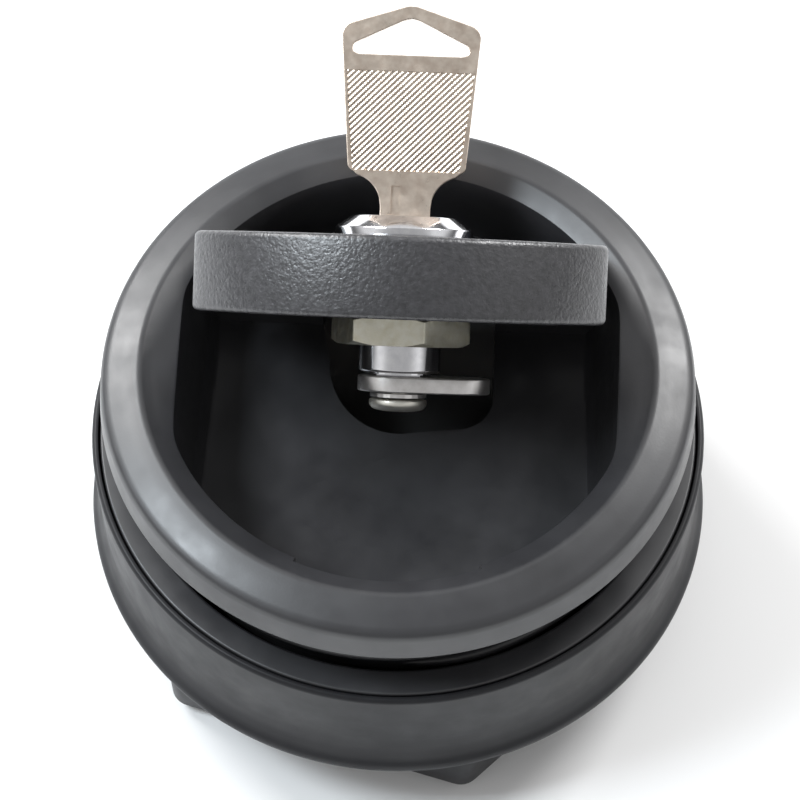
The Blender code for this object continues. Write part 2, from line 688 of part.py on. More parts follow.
def cam_screw():
    """Pan head screw that holds the cam."""
    head_top = CAM_TOP - CAM_T - 1.2 * MM
    profile = [
        (0, -13.0 * MM), (1.6 * MM, -13.0 * MM), (1.9 * MM, -13.4 * MM), (1.9 * MM, head_top),
        (4.7 * MM, head_top), (4.75 * MM, head_top - 1.0 * MM), (4.1 * MM, head_top - 1.7 * MM),
        (2.6 * MM, head_top - 2.0 * MM), (0, head_top - 2.1 * MM),
    ]
    screw = turned("cam_screw", profile, 24, closed=False)
    for index, (wide, deep) in enumerate(((2.6, 0.4), (0.4, 2.6))):
        low = (-wide * MM, -deep * MM, head_top - 3 * MM)
        high = (wide * MM, deep * MM, head_top - 1.0 * MM)
        cut(screw, box(f"cross_slot_{index}", low, high))
    return finish(screw, STEEL, 0.25, 1.0)


def key():
    """Flat key; drawn in (x, height) and stood up in the plane of the keyway."""
    shoulder_w, shoulder_z = 11.25 * MM, 39.4 * MM
    foot_w, foot_z = 9.6 * MM, 17.6 * MM
    apex_z, corner = 43.8 * MM, 2.2 * MM
    right = [(BLADE_W - 1.6 * MM, KEY_TIP), (BLADE_W, KEY_TIP + 1.6 * MM)]
    for index in range(4):
        bit_z = KEY_TIP + (3.6 + 2.8 * index) * MM
        depth = (0.7, 0.3, 0.9, 0.5)[index] * MM
        right += [(BLADE_W, bit_z - 0.9 * MM), (BLADE_W - depth, bit_z), (BLADE_W, bit_z + 0.9 * MM)]
    right += [(BLADE_W, 11.4 * MM)]
    right += arc_points((BLADE_W + 5.2 * MM, 11.4 * MM), 5.2 * MM, 165, 105, 4)
    right += arc_points((foot_w - 1.2 * MM, foot_z + 0.6 * MM), 1.2 * MM, -75, 0, 3)
    right += arc_points((shoulder_w - corner, shoulder_z - 0.6 * MM), corner, 0, 72, 4)
    right += arc_points((0, apex_z - 4.0 * MM), 4.0 * MM, 72, 90, 2)
    outline = right + [(-x, z) for x, z in reversed(right[:-1])]
    hole = [(-8.6 * MM, 35.9 * MM), (8.6 * MM, 35.9 * MM), (9.5 * MM, 36.5 * MM), (9.3 * MM, 37.6 * MM),
            (1.2 * MM, 41.5 * MM), (0, 41.8 * MM), (-1.2 * MM, 41.5 * MM), (-9.3 * MM, 37.6 * MM),
            (-9.5 * MM, 36.5 * MM)]
    blank = plate("key", [outline, hole], -KEY_T / 2, KEY_T / 2)
    blank.data.transform(Matrix.Rotation(math.pi / 2, 4, "X"))
    bevel(blank, 0.2 * MM, 1, 50)
    groove_low = (-2.1 * MM, -KEY_T, KEY_TIP - 1 * MM)
    groove_high = (-0.8 * MM, -KEY_T / 2 + 0.45 * MM, 15.0 * MM)
    cut(blank, box("key_groove", groove_low, groove_high))
    return finish(blank, NICKEL, 0.28, 1.0)


clear_scene()
PARTS = make_collection("deck_fill_cap")
CUTTERS = make_collection("cutters")

for fixed in (deck_ring(), seat_ring(), deck_gasket(), clamp_nut(), cap_seal(), slip_ring()):
    place(fixed)

cap_pivot = pivot("cap_axis", None, (0, 0, 0), (0, 0, CAP_ANGLE))
hinge_pivot = pivot("hinge_axis", cap_pivot, (0, HINGE_Y, HINGE_Z), (0, 0, 0))
raised_pivot = pivot("raised_handle", hinge_pivot, (0, 0, 0), (-HANDLE_RAISED, 0, 0))
lock_pivot = pivot("lock_axis", raised_pivot, (0, -LOCK_OFFSET, 0), (0, 0, 0))

cap_object = place(cap_body(), cap_pivot)
for piece in (cap_cup(), cup_gasket()):
    place(piece, cap_pivot)
cup_screws(cap_pivot)
place(hinge_pin(), hinge_pivot)
friction_washers(hinge_pivot)
place(handle(), raised_pivot)
for piece in (lock_body(), lock_washer(), lock_nut(), lock_plug(), lock_cam(), cam_washer()):
    place(piece, lock_pivot)
place(cam_screw(), lock_pivot)
place(key(), lock_pivot)
wafers(lock_pivot)

# Cutters made for a moving piece move with it, so that the cuts stay where they were drawn.
for part in PARTS.objects:
    for modifier in part.modifiers:
        if modifier.type == "BOOLEAN":
            modifier.object.parent = part.parent
            modifier.object.location = part.location
            for nested in modifier.object.modifiers:
                if nested.type == "BOOLEAN":
                    nested.object.parent = part.parent
                    nested.object.location = part.location
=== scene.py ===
"""Looks of the deck fill cap: smooth, finely edged pieces and procedural materials over its solids."""
import math

import bmesh
import bpy
from mathutils import Matrix, Vector


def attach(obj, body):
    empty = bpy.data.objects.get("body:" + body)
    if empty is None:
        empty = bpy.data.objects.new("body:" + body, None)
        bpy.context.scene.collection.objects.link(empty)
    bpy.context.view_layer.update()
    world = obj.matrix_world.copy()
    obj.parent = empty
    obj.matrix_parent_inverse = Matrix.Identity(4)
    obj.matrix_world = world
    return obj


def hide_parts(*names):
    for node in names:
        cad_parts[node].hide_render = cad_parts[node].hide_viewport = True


MM = 0.001

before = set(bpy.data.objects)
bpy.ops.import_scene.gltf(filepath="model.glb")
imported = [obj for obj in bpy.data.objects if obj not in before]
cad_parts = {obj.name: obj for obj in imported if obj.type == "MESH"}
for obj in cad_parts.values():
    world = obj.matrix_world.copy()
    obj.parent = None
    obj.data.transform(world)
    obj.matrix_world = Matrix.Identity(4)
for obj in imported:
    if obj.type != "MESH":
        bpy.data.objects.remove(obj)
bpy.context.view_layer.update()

# Heights and sizes shared with the solids, in millimetres
BEZEL_Z = 54.0                      # outer top edge of the bezel
UNDERSIDE_Z = BEZEL_Z - 5.3         # lower face of the bezel
SHELF_Z = BEZEL_Z - 16.0            # top of the deck ring and its seat
SKIRT_Z = BEZEL_Z - 20.5            # lower end of the cap's threaded skirt
FLANGE_Z = BEZEL_Z - 39.5           # lower face of the deck flange
CAP_ANGLE = math.radians(-2.6)
NECK_R, CHAMBER_R = 42.8, 34.0

# Pocket in the cap
OPENING_R = 37.5
PLATFORM_Z = BEZEL_Z - 16.2
PLATFORM_T = 2.8
STEP_Z = BEZEL_Z - 13.6
STEP_Y, WELL_Y, WELL_W = 18.1, 24.3, 31.0
WALL_LEVELS = (                     # height, half width at the middle, widening towards the hinge
    (BEZEL_Z + 1.0, 35.05, 0.025),
    (BEZEL_Z - 13.0, 32.60, -0.010),
    (PLATFORM_Z, 31.30, -0.020),
)

# Handle and hinge
HINGE_Y, HINGE_Z = 22.3, BEZEL_Z - 7.2
HANDLE_RAISED = math.radians(56.76)
HANDLE_T, HANDLE_R, HANDLE_W = 12.0, 36.5, 31.2
HANDLE_SHIFT = 0.3                  # the paddle sits a little to the right on its hinge
KNUCKLE_W, SHOULDER_Y = 24.0, -8.0
LUG_X, LUG_R = 26.0, 4.6
PIN_BORE_R = 1.85
PIN_BORE_ENDS = (-34.9, 38.5)

# Lock and cam
LOCK_OFFSET = 11.1                  # lock axis to hinge axis
LOCK_Y = HINGE_Y - LOCK_OFFSET
LOCK_BORE_R = 8.2
WASHER_RECESS_R, WASHER_DEPTH = 10.3, 0.95
NUT_FLATS, NUT_ANGLE = 20.0, math.radians(-9.4)
CAM_TOP, CAM_T, CAM_REACH = -15.9, 2.6, 14.9
CAM_TIP_R, CAM_HUB_R = 5.2, 6.7
CATCH_SWING_R = 27.4
SLOT_SIDE, SLOT_FRONT, SLOT_REAR, SLOT_CORNER_R = 12.0, 13.8, 13.5, 6.2

# Key
KEY_TIP, BLADE_W, KEY_HALF_T = -9.5, 4.1, 0.98

# Screw threads
CAP_STARTS, CAP_LEAD, CAP_BEAD = 4, 19.0, 1.08
CAP_RIDGE_Z, SEAT_RIDGE_Z = SKIRT_Z + 1.6, SHELF_Z - 15.6
TAIL_R, TAIL_PITCH, TAIL_BEAD = 38.2, 4.0, 0.88

# Clamp nut
HEX_FLATS, HEX_ANGLE, HEX_BORE_R = 90.0, math.radians(42.7), 40.0
HEX_LOW, HEX_HIGH = BEZEL_Z - 52.4, BEZEL_Z - 41.3

# Screws of the cup under the cap
CUP_SCREWS, CUP_SCREW_R, CUP_BORE_R = 6, 40.2, 1.45
CUP_SCREW_TURN = math.radians(2.9)

SIDES = 288                         # points round the cap's rings

TO_CAP = Matrix.Rotation(CAP_ANGLE, 4, "Z")
TO_HINGE = TO_CAP @ Matrix.Translation(Vector((0, HINGE_Y, HINGE_Z)) * MM)
TO_HANDLE = TO_HINGE @ Matrix.Rotation(-HANDLE_RAISED, 4, "X")
TO_LOCK = TO_HANDLE @ Matrix.Translation((0, -LOCK_OFFSET * MM, 0))
TO_ROW = Matrix.Identity(4)


# ---------------------------------------------------------------- mesh helpers

def smooth(obj, angle=32):
    obj.data.shade_smooth()
    obj.data.set_sharp_from_angle(angle=math.radians(angle))
    return obj


def to_object(name, bm, matrix):
    bmesh.ops.recalc_face_normals(bm, faces=bm.faces)
    mesh = bpy.data.meshes.new(name)
    bm.to_mesh(mesh)
    bm.free()
    obj = bpy.data.objects.new(name, mesh)
    bpy.context.scene.collection.objects.link(obj)
    obj.matrix_world = matrix
    return obj


def rings_to_mesh(name, rings, matrix, cap_first=True, cap_last=True, closed=False):
    """Joins rings of points, in millimetres, into a skin."""
    bm = bmesh.new()
    made = [[bm.verts.new([c * MM for c in point]) for point in ring] for ring in rings]
    count = len(made[0])
    pairs = list(zip(made, made[1:]))
    if closed:
        pairs.append((made[-1], made[0]))
    for lower, upper in pairs:
        for i in range(count):
            j = (i + 1) % count
            bm.faces.new((lower[i], lower[j], upper[j], upper[i]))
    if not closed:
        if cap_first:
            bm.faces.new(made[0])
        if cap_last:
            bm.faces.new(made[-1])
    return to_object(name, bm, matrix)


def eased(points, radius, closed=True, steps=4):
    """Rounds the corners of a profile; radius is one number, or one for each point."""
    out = []
    count = len(points)
    for i, point in enumerate(points):
        r = radius[i] if isinstance(radius, (list, tuple)) else radius
        if r <= 0 or (not closed and i in (0, count - 1)):
            out.append(point)
            continue
        p = Vector(point)
        a = Vector(points[i - 1]) - p
        b = Vector(points[(i + 1) % count]) - p
        reach = min(r, a.length * 0.45, b.length * 0.45)
        start, end = p + a.normalized() * reach, p + b.normalized() * reach
        for k in range(steps + 1):
            t = k / steps
            q = start * (1 - t) ** 2 + p * (2 * t * (1 - t)) + end * t * t
            out.append((q.x, q.y))
    return out


def lathe(name, profile, matrix, segments=192, closed=True):
    """Turns a profile of (radius, height) about Z; an open one ends on the axis with caps."""
    rings = []
    for radius, height in profile:
        ring = []
        for i in range(segments):
            angle = 2 * math.pi * i / segments
            ring.append((radius * math.cos(angle), radius * math.sin(angle), height))
        rings.append(ring)
    return rings_to_mesh(name, rings, matrix, closed=closed)


def slab(name, outline, low, high, matrix, edge=0.3, steps=3):
    """A flat plate with rounded rims, from an outline that runs counter-clockwise."""
    count = len(outline)
    inward = []
    for i in range(count):
        p = Vector((*outline[i], 0))
        a = Vector((*outline[i - 1], 0))
        b = Vector((*outline[(i + 1) % count], 0))
        along = (b - a).normalized()
        inward.append((p, Vector((-along.y, along.x, 0))))
    turns = [k / steps * math.pi / 2 for k in range(steps + 1)]
    levels = [(1 - math.sin(t), low + edge * (1 - math.cos(t))) for t in turns]
    levels += [(1 - math.cos(t), high - edge * (1 - math.sin(t))) for t in turns]
    rings = [[(p + n * edge * inset)[:2] + (z,) for p, n in inward] for inset, z in levels]
    return rings_to_mesh(name, rings, matrix)


def flat_slab(name, outline, low, high, matrix):
    """A flat plate with square rims."""
    return rings_to_mesh(name, [[(x, y, z) for x, y in outline] for z in (low, high)], matrix)


def block(name, low, high, matrix):
    bm = bmesh.new()
    bmesh.ops.create_cube(bm, size=1.0)
    low, high = Vector(low) * MM, Vector(high) * MM
    bmesh.ops.scale(bm, vec=high - low, verts=bm.verts)
    bmesh.ops.translate(bm, vec=(low + high) / 2, verts=bm.verts)
    return to_object(name, bm, matrix)


def apply_modifiers(obj):
    graph = bpy.context.evaluated_depsgraph_get()
    mesh = bpy.data.meshes.new_from_object(obj.evaluated_get(graph))
    obj.modifiers.clear()
    obj.data = mesh
    return obj


def boolean(obj, other, operation="DIFFERENCE"):
    modifier = obj.modifiers.new("cut", "BOOLEAN")
    modifier.operation = operation
    modifier.object = other
    modifier.solver = "EXACT"
    bpy.context.view_layer.update()
    apply_modifiers(obj)
    bpy.data.objects.remove(other, do_unlink=True)
    return obj


def bevel(obj, width, angle=40, segments=2):
    modifier = obj.modifiers.new("edges", "BEVEL")
    modifier.width = width * MM
    modifier.segments = segments
    modifier.limit_method = "ANGLE"
    modifier.angle_limit = math.radians(angle)
    modifier.harden_normals = False
    bpy.context.view_layer.update()
    return apply_modifiers(obj)


def wear(obj, material, body, *nodes):
    """Gives a piece its material, its body and the solids that it stands for."""
    obj.data.materials.clear()
    obj.data.materials.append(material)
    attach(obj, body)
    if nodes:
        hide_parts(*nodes)
    return obj


# ---------------------------------------------------------------- materials

class Shader:
    """A Principled material and short ways to wire its nodes."""

    def __init__(self, name):
        self.material = bpy.data.materials.new(name)
        self.material.use_nodes = True
        self.tree = self.material.node_tree
        self.bsdf = self.tree.nodes["Principled BSDF"]
        self.coords = self.tree.nodes.new("ShaderNodeTexCoord").outputs["Object"]

    def set(self, **values):
        for key, value in values.items():
            self.bsdf.inputs[key.replace("_", " ")].default_value = value
        return self

    def link(self, source, target):
        self.tree.links.new(source, target)

    def noise(self, scale, detail=3.0, rough=0.55, stretch=None, coords=None):
        node = self.tree.nodes.new("ShaderNodeTexNoise")
        node.inputs["Scale"].default_value = scale
        node.inputs["Detail"].default_value = detail
        node.inputs["Roughness"].default_value = rough
        source = coords or self.coords
        if stretch:
            mapping = self.tree.nodes.new("ShaderNodeMapping")
            mapping.inputs["Scale"].default_value = stretch
            self.link(source, mapping.inputs["Vector"])
            source = mapping.outputs["Vector"]
        self.link(source, node.inputs["Vector"])
        return node.outputs["Fac"]

    def cells(self, scale):
        node = self.tree.nodes.new("ShaderNodeTexVoronoi")
        node.inputs["Scale"].default_value = scale
        self.link(self.coords, node.inputs["Vector"])
        return node.outputs["Distance"]

    def math(self, operation, first, second=None):
        node = self.tree.nodes.new("ShaderNodeMath")
        node.operation = operation
        for socket, value in zip(node.inputs, (first, second)):
            if value is None:
                continue
            if isinstance(value, (int, float)):
                socket.default_value = value
            else:
                self.link(value, socket)
        return node.outputs["Value"]

    def spread(self, source, low, high, from_low=0.3, from_high=0.7):
        node = self.tree.nodes.new("ShaderNodeMapRange")
        node.inputs["From Min"].default_value = from_low
        node.inputs["From Max"].default_value = from_high
        node.inputs["To Min"].default_value = low
        node.inputs["To Max"].default_value = high
        self.link(source, node.inputs["Value"])
        return node.outputs["Result"]

    def color_between(self, factor, first, second):
        node = self.tree.nodes.new("ShaderNodeMix")
        node.data_type = "RGBA"
        node.inputs["A"].default_value = (*first, 1)
        node.inputs["B"].default_value = (*second, 1)
        self.link(factor, node.inputs["Factor"])
        return node.outputs["Result"]

    def bump(self, height, strength, distance):
        node = self.tree.nodes.new("ShaderNodeBump")
        node.inputs["Strength"].default_value = strength
        node.inputs["Distance"].default_value = distance
        self.link(height, node.inputs["Height"])
        previous = self.bsdf.inputs["Normal"].links
        if previous:
            self.link(previous[0].from_socket, node.inputs["Normal"])
        self.link(node.outputs["Normal"], self.bsdf.inputs["Normal"])
        return self

    def feed(self, key, source):
        self.link(source, self.bsdf.inputs[key])
        return self


def satin_plastic(name, dark, light, rough_low, rough_high, grain=2600, grain_depth=0.25, specular=0.5):
    """Black moulded plastic: fine grain, uneven gloss and faint dust."""
    s = Shader(name).set(Specular_IOR_Level=specular)
    s.feed("Base Color", s.color_between(s.spread(s.noise(90, 4), 0, 1), dark, light))
    s.feed("Roughness", s.spread(s.noise(160, 5), rough_low, rough_high))
    s.bump(s.noise(grain, 2), grain_depth, 0.00003)
    s.bump(s.noise(60, 2), 0.06, 0.0002)
    return s.material


def metal(name, color, shade, rough_low, rough_high, stretch=None, depth=0.08, scale=900):
    """Plated or plain metal with light tarnish and fine working marks."""
    s = Shader(name).set(Metallic=1.0)
    s.feed("Base Color", s.color_between(s.spread(s.noise(700, 4), 0, 1), color, shade))
    s.feed("Roughness", s.spread(s.noise(500, 4), rough_low, rough_high))
    s.bump(s.noise(scale, 3, stretch=stretch), depth, 0.00005)
    return s.material


def rubber(name):
    s = Shader(name).set(Specular_IOR_Level=0.3)
    dark, light = (0.008, 0.008, 0.008), (0.02, 0.02, 0.02)
    s.feed("Base Color", s.color_between(s.spread(s.noise(200, 4), 0, 1), dark, light))
    s.feed("Roughness", s.spread(s.noise(300, 4), 0.55, 0.8))
    s.bump(s.noise(3000, 2), 0.2, 0.00004)
    return s.material


def sparkle_plastic(name):
    """Black plastic with a coarse moulded grain whose facets glint."""
    s = Shader(name).set(Specular_IOR_Level=0.9)
    dark, light = (0.016, 0.016, 0.018), (0.035, 0.034, 0.038)
    s.feed("Base Color", s.color_between(s.spread(s.noise(900, 4), 0, 1), dark, light))
    s.feed("Roughness", s.spread(s.noise(1500, 4), 0.26, 0.46))
    s.bump(s.noise(1500, 3, 0.6), 0.55, 0.0002)
    s.bump(s.cells(1900), 0.35, 0.0001)
    return s.material


BLACK = satin_plastic("satin_black", (0.020, 0.020, 0.022), (0.028, 0.028, 0.031), 0.34, 0.46,
                      specular=0.7)
RING_BLACK = satin_plastic("ring_black", (0.012, 0.012, 0.014), (0.018, 0.018, 0.020), 0.36, 0.48,
                           specular=0.25)
HIDDEN_BLACK = satin_plastic("hidden_black", (0.02, 0.02, 0.02), (0.03, 0.03, 0.03), 0.45, 0.6)
SPARKLE = sparkle_plastic("sparkle_black")
RUBBER = rubber("black_rubber")
CHROME = metal("chrome", (0.86, 0.86, 0.88), (0.74, 0.74, 0.77), 0.06, 0.16)
NICKEL = metal("key_nickel", (0.78, 0.68, 0.58), (0.64, 0.53, 0.44), 0.26, 0.40)
NUT_NICKEL = metal("nut_nickel", (0.96, 0.94, 0.82), (0.84, 0.80, 0.64), 0.34, 0.56, depth=0.3, scale=1600)
SCREW_NICKEL = metal("screw_nickel", (0.95, 0.93, 0.86), (0.86, 0.83, 0.74), 0.34, 0.50)
STEEL = metal("cam_steel", (0.92, 0.90, 0.89), (0.76, 0.74, 0.72), 0.28, 0.46, stretch=(1, 1, 0.1), depth=0.2)
BRASS = metal("wafer_brass", (0.74, 0.58, 0.30), (0.58, 0.43, 0.20), 0.2, 0.35)
NYLON = satin_plastic("washer_nylon", (0.62, 0.60, 0.54), (0.72, 0.70, 0.64), 0.4, 0.55)


# ---------------------------------------------------------------- deck ring, seat, nut, seals

top = BEZEL_Z
deck = lathe("deck_ring_skin", eased([
    (49.6, top - 16.0), (50.2, top - 16.0), (50.7, top - 16.5), (50.8, top - 25.0), (50.9, top - 32.0),
    (51.2, top - 34.6), (51.9, top - 36.6), (52.7, top - 37.7), (52.9, top - 38.3), (52.9, top - 39.0),
    (52.5, FLANGE_Z), (38.3, FLANGE_Z), (38.3, 0.8), (37.5, 0.05), (35.6, 0.05), (35.05, 0.6),
    (35.05, top - 36.0), (46.8, top - 36.0), (46.8, top - 19.1), (49.6, top - 19.1),
], [0.15, 0.2, 0.5, 0, 4, 2, 1.2, 0.5, 0.3, 0.3, 0.3, 0] + [0.3] * 8), TO_ROW, 256)
smooth(deck, 40)

seat = lathe("seat_ring_skin", eased([
    (45.4, top - 16.0), (49.05, top - 16.0), (49.3, top - 16.25), (49.3, top - 18.8), (46.5, top - 18.8),
    (46.5, top - 34.0), (45.0, top - 34.0), (45.0, top - 16.4),
], 0.15), TO_ROW, 256)
smooth(seat, 40)


def helix_skin(name, radius, bead, lead, start, turns, z_start, matrix, per_turn=96, sides=12):
    """A round-backed thread ridge with tapered ends."""
    count = int(per_turn * turns)
    slope = math.atan2(lead, 2 * math.pi * radius)
    rings = []
    for i in range(count + 1):
        share = i / count
        angle = start + 2 * math.pi * turns * share
        taper = min(1.0, 8 * share, 8 * (1 - share))
        r = bead * (0.15 + 0.85 * math.sin(taper * math.pi / 2))
        ring = []
        for k in range(sides):
            a = 2 * math.pi * k / sides
            out, up = r * math.cos(a), r * math.sin(a)
            reach = radius + out - (bead - r)
            turn = angle - up * math.sin(slope) / radius
            ring.append((reach * math.cos(turn), reach * math.sin(turn),
                         z_start + lead * turns * share + up * math.cos(slope)))
        rings.append(ring)
    return rings_to_mesh(name, rings, matrix)


def joined(main, *others):
    """Moves the others' faces into the main object."""
    bm = bmesh.new()
    bm.from_mesh(main.data)
    inverse = main.matrix_world.inverted()
    for other in others:
        copy = other.data.copy()
        copy.transform(inverse @ other.matrix_world)
        bm.from_mesh(copy)
        bpy.data.objects.remove(other, do_unlink=True)
    bm.to_mesh(main.data)
    bm.free()
    return main


tail_thread = helix_skin("tail_thread", TAIL_R + 0.2, TAIL_BEAD, TAIL_PITCH, 0.0, 2.3, 1.6, TO_ROW)
smooth(tail_thread, 60)
wear(joined(deck, tail_thread), RING_BLACK, "base", "deck_ring")

# The seat's ridges stand half way between the cap's; the phase makes up for their other start height.
phase = CAP_ANGLE + 2 * math.pi * (SEAT_RIDGE_Z - CAP_RIDGE_Z) / CAP_LEAD
for index in range(CAP_STARTS):
    start_at = 2 * math.pi * (index + 0.5) / CAP_STARTS + phase
    ridge = helix_skin(f"seat_ridge_{index}", 44.7, CAP_BEAD, CAP_LEAD, start_at, 0.6, SEAT_RIDGE_Z, TO_ROW)
    joined(seat, smooth(ridge, 60))
wear(seat, BLACK, "base", "seat_ring")

gasket_top, lip_r = FLANGE_Z - 0.3, 46.85
gasket = lathe("deck_gasket_skin", eased([
    (39.65, gasket_top), (51.55, gasket_top), (51.55, gasket_top - 1.18), (lip_r, gasket_top - 1.18),
    (lip_r, gasket_top - 0.78), (39.65, gasket_top - 0.78),
], 0.15), TO_ROW, 192)
wear(smooth(gasket), RUBBER, "base", "deck_gasket")


def hexagon(flats, first_corner):
    radius = flats / math.sqrt(3)
    angles = [first_corner + math.radians(60 * k) for k in range(6)]
    return [(radius * math.cos(angle), radius * math.sin(angle)) for angle in angles]


hex_outline = eased(hexagon(HEX_FLATS, HEX_ANGLE), 2.2, steps=6)
nut = slab("clamp_nut_skin", hex_outline, HEX_LOW, HEX_HIGH, TO_ROW, edge=0.8)
bore = lathe("nut_bore", [(HEX_BORE_R, top - 60), (HEX_BORE_R, top - 30)], TO_ROW, 128, closed=False)
boolean(nut, bore)
nut_start = 2 * math.pi * (HEX_LOW / TAIL_PITCH + 0.5)
nut_thread = helix_skin("nut_thread", HEX_BORE_R, TAIL_BEAD, TAIL_PITCH, nut_start, 1.9,
                        HEX_LOW + 1.6, TO_ROW)
wear(joined(smooth(nut), smooth(nut_thread, 60)), RING_BLACK, "base", "clamp_nut")

o_ring_z, o_ring_r, section_r = UNDERSIDE_Z + 0.2, 45.7, 1.08
section = [(o_ring_r + section_r * math.cos(turn), o_ring_z - section_r * math.sin(turn))
           for turn in (2 * math.pi * i / 20 for i in range(20))]
wear(smooth(lathe("cap_o_ring_skin", section, TO_ROW, 192), 80), RUBBER, "cap_seal", "cap_o_ring")


# ---------------------------------------------------------------- cap body

def arc_points(centre, radius, start, end, count):
    points = []
    for i in range(count + 1):
        angle = math.radians(start + (end - start) * i / count)
        points.append((centre[0] + radius * math.cos(angle), centre[1] + radius * math.sin(angle)))
    return points


def flat_sided(radius, half_width, taper=0.0, power=90, y_max=None, sides=SIDES):
    points = []
    for i in range(sides):
        angle = 2 * math.pi * (i + 0.5) / sides
        side = max(abs(math.cos(angle)) - taper * math.sin(angle), 0.0) / half_width
        reach = (radius ** -power + side ** power) ** (-1 / power)
        if y_max is not None and math.sin(angle) > 0:
            reach = min(reach, y_max / math.sin(angle))
        points.append((reach * math.cos(angle), reach * math.sin(angle)))
    return points


def round_ring(radius, z):
    angles = [2 * math.pi * (i + 0.5) / SIDES for i in range(SIDES)]
    return [(radius * math.cos(angle), radius * math.sin(angle), z) for angle in angles]


def wall_at(z):
    """Half width and widening of the pocket at a height."""
    z = max(min(z, WALL_LEVELS[0][0]), WALL_LEVELS[-1][0])
    for (high, wide, widening), (low, width, taper) in zip(WALL_LEVELS, WALL_LEVELS[1:]):
        if z >= low:
            share = (high - z) / (high - low)
            return wide + (width - wide) * share, widening + (taper - widening) * share


def pocket_ring(z, out=0.0):
    width, taper = wall_at(z)
    return [(x, y, z) for x, y in flat_sided(OPENING_R + out, width + out, taper)]


outside = eased([
    (NECK_R, SKIRT_Z), (NECK_R, UNDERSIDE_Z), (44.4, UNDERSIDE_Z), (44.4, UNDERSIDE_Z + 2.5),
    (47.0, UNDERSIDE_Z + 2.5), (47.0, UNDERSIDE_Z), (47.85, UNDERSIDE_Z), (48.08, UNDERSIDE_Z + 0.4),
    (47.52, top - 0.1), (47.1, top + 0.8), (46.2, top + 1.35), (43.4, top + 2.35), (41.4, top + 2.85),
    (40.75, top + 2.82), (38.9, top + 1.98),
], [0, 0.3, 0.2, 0.2, 0.2, 0.2, 0.4, 0.3, 0.5, 0.45, 0.4, 1.2, 0.5, 0.3, 0.6], closed=False, steps=5)
rings = [round_ring(r, z) for r, z in outside]
rings += [pocket_ring(z, out) for z, out in (
    (top + 1.52, 0.45), (top + 1.33, 0.12), (top + 1.0, 0.0), (top - 4.0, 0.0), (top - 9.0, 0.0),
    (top - 12.2, 0.0), (top - 13.0, 0.0), (top - 13.6, 0.0), (PLATFORM_Z + 0.6, 0.0),
    (PLATFORM_Z + 0.17, -0.17), (PLATFORM_Z, -0.6))]
body = rings_to_mesh("cap_body_skin", rings, TO_CAP)

floor_z = PLATFORM_Z - PLATFORM_T
chamber = lathe("chamber", [(CHAMBER_R, SKIRT_Z - 5), (CHAMBER_R, floor_z)], TO_CAP, 128, closed=False)
boolean(body, chamber)

# The hinge step is filled back in behind the platform.
step_outline = [(x, y) for x, y in flat_sided(OPENING_R + 0.8, 34.0, y_max=40) if y > STEP_Y]
step_outline = [(step_outline[0][0], STEP_Y)] + step_outline + [(step_outline[-1][0], STEP_Y)]
step = slab("hinge_step", step_outline, floor_z, STEP_Z, TO_CAP, edge=0.35)
boolean(body, step, "UNION")

well_outline = [(x, y) for x, y in flat_sided(OPENING_R - 0.3, WELL_W) if y > WELL_Y]
well_outline = [(well_outline[0][0], WELL_Y)] + well_outline + [(well_outline[-1][0], WELL_Y)]
boolean(body, flat_slab("well", well_outline, floor_z - 0.4, STEP_Z + 1.2, TO_CAP))

slot_right = CAM_REACH + 0.75
slot_corner = (slot_right - SLOT_CORNER_R, LOCK_Y - SLOT_FRONT + 1.25 + SLOT_CORNER_R)
slot_outline = [(-SLOT_SIDE * math.cos(turn), LOCK_Y - SLOT_FRONT * math.sin(turn))
                for turn in (math.radians(2 * i) for i in range(52))]
slot_outline += arc_points(slot_corner, SLOT_CORNER_R, -90, 0, 24)
slot_outline += [(slot_right, WELL_Y + 2), (-SLOT_REAR, WELL_Y + 2), (-SLOT_REAR, STEP_Y)]
boolean(body, flat_slab("lock_slot", slot_outline, floor_z - 1, STEP_Z + 0.5, TO_CAP))

relief = []
for radius, way in ((OPENING_R - 2, 1), (OPENING_R + 0.9, -1)):
    for i in range(25):
        angle = math.radians(-90 + way * (i - 12) * 22 / 12)
        relief.append((radius * math.cos(angle), radius * math.sin(angle)))
boolean(body, flat_slab("relief", relief, top - 6, top + 6, TO_CAP))

catch = block("catch", (-7, -9, top - 22.5), (7, 3, floor_z + 0.5), TO_CAP)
swing_rings = []
for x in (-9, 9):
    swing_rings.append([(x, HINGE_Y + CATCH_SWING_R * math.cos(2 * math.pi * i / 128),
                         HINGE_Z + CATCH_SWING_R * math.sin(2 * math.pi * i / 128)) for i in range(128)])
boolean(catch, rings_to_mesh("catch_swing", swing_rings, TO_CAP))
boolean(body, catch, "UNION")

for side in (-1, 1):
    low, high = sorted((side * LUG_X, side * 38.0))
    lug_rings = []
    for x in (low, high):
        ring = [(x, HINGE_Y - LUG_R, STEP_Z - 0.5)]
        ring += [(x, HINGE_Y - LUG_R * math.cos(turn), HINGE_Z + LUG_R * math.sin(turn))
                 for turn in (math.pi * i / 24 for i in range(25))]
        ring.append((x, HINGE_Y + LUG_R, STEP_Z - 0.5))
        lug_rings.append(ring)
    lug = rings_to_mesh(f"lug_{side}", lug_rings, TO_CAP)
    trim = lathe("lug_trim", [(41.5, STEP_Z - 1), (41.5, top + 5)], TO_CAP, 128, closed=False)
    boolean(lug, trim, "INTERSECT")
    boolean(body, lug, "UNION")

pin_rings = []
for x in PIN_BORE_ENDS:
    pin_rings.append([(x, HINGE_Y + PIN_BORE_R * math.cos(turn), HINGE_Z + PIN_BORE_R * math.sin(turn))
                      for turn in (2 * math.pi * i / 32 for i in range(32))])
boolean(body, rings_to_mesh("pin_bore", pin_rings, TO_CAP))

